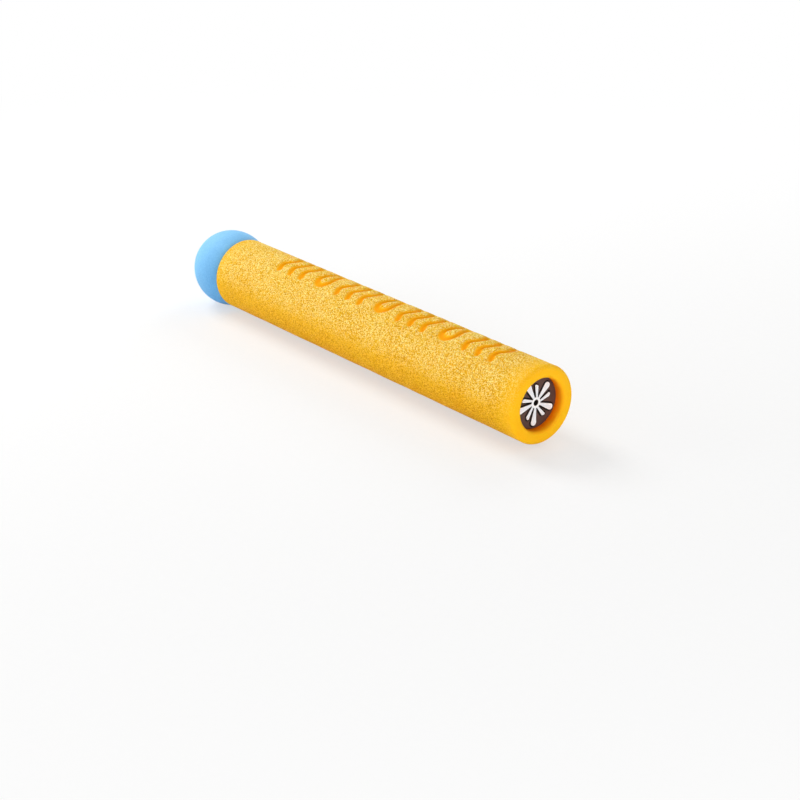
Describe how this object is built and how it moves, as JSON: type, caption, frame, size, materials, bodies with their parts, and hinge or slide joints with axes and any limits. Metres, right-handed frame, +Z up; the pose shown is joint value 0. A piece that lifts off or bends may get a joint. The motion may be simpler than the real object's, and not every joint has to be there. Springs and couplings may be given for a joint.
{
  "type": "water squirter",
  "caption": "Syringe-type water squirter: a plastic pump barrel in a soft foam sleeve, with a petal nozzle at the muzzle and a foam ball as the plunger's handle.",
  "frame": {"origin": "on the ground, under the middle of the part's box, with the plunger pushed home", "axes": "+X along the barrel towards the muzzle, +Z up, through the middle of the pressed motif"},
  "size_m": [0.331, 0.05, 0.05],
  "materials": {
    "orange_foam": "matte",
    "blue_foam": "matte",
    "natural_plastic": "satin",
    "dark_plastic": "satin",
    "white_plastic": "gloss",
    "black_rubber": "matte"
  },
  "bodies": {
    "squirter_body": {"foam_sleeve": "orange_foam", "barrel_tube": "natural_plastic", "nozzle_cap": "dark_plastic", "petal_nozzle": "white_plastic", "cap_gasket": "black_rubber", "rod_guide": "natural_plastic"},
    "piston_seals": {"front_piston_ring": "black_rubber", "rear_piston_ring": "black_rubber"},
    "plunger": {"plunger_tube": "white_plastic", "piston_head": "dark_plastic", "handle_core": "natural_plastic", "ball_grip": "blue_foam"}
  },
  "joints": [
    {"name": "plunger_slide", "type": "slide", "parent": "squirter_body", "child": "piston_seals", "axis": [-1, 0, 0], "range_m": [0, 0.2375]},
    {"name": "plunger_twist", "type": "hinge", "parent": "piston_seals", "child": "plunger", "pos_m": [0, 0, 0.025], "axis": [1, 0, 0], "continuous": true}
  ]
}
